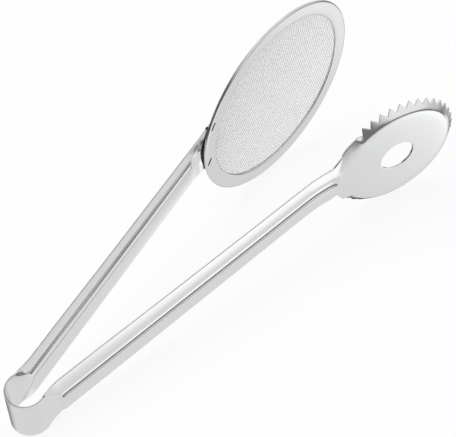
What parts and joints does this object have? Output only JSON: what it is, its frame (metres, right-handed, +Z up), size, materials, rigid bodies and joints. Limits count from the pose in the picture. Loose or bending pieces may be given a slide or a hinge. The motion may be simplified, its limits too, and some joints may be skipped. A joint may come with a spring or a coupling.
{
  "type": "kitchen tongs",
  "caption": "Spring-bow kitchen tongs with a round wire strainer on one arm and a round toothed press with a drain hole on the other.",
  "frame": {"origin": "middle of the underside of the bounding box, on the table that the open tongs lie on", "axes": "+Z up from the table; +X along the tongs from the bow to the jaws; +Y towards the strainer side, with the strainer's axis square to X"},
  "size_m": [0.2734, 0.0992, 0.1044],
  "materials": {
    "strip_steel": "polished stainless sheet",
    "rim_steel": "polished stainless sheet",
    "wire_steel": "drawn stainless wire"
  },
  "bodies": {
    "strainer_side": {"spring_bow": "strip_steel", "strainer_arm": "strip_steel", "strainer_rim": "rim_steel", "strainer_net": "wire_steel"},
    "press_side": {"press_arm": "strip_steel"}
  },
  "joints": [
    {"name": "squeeze", "type": "hinge", "parent": "strainer_side", "child": "press_side", "pos_m": [-0.12534, 0.01077, 0.01528], "axis": [-0.136, -0.3099, 0.941], "range_deg": [0, 17], "stiffness_Nm_per_rad": 3.2}
  ]
}
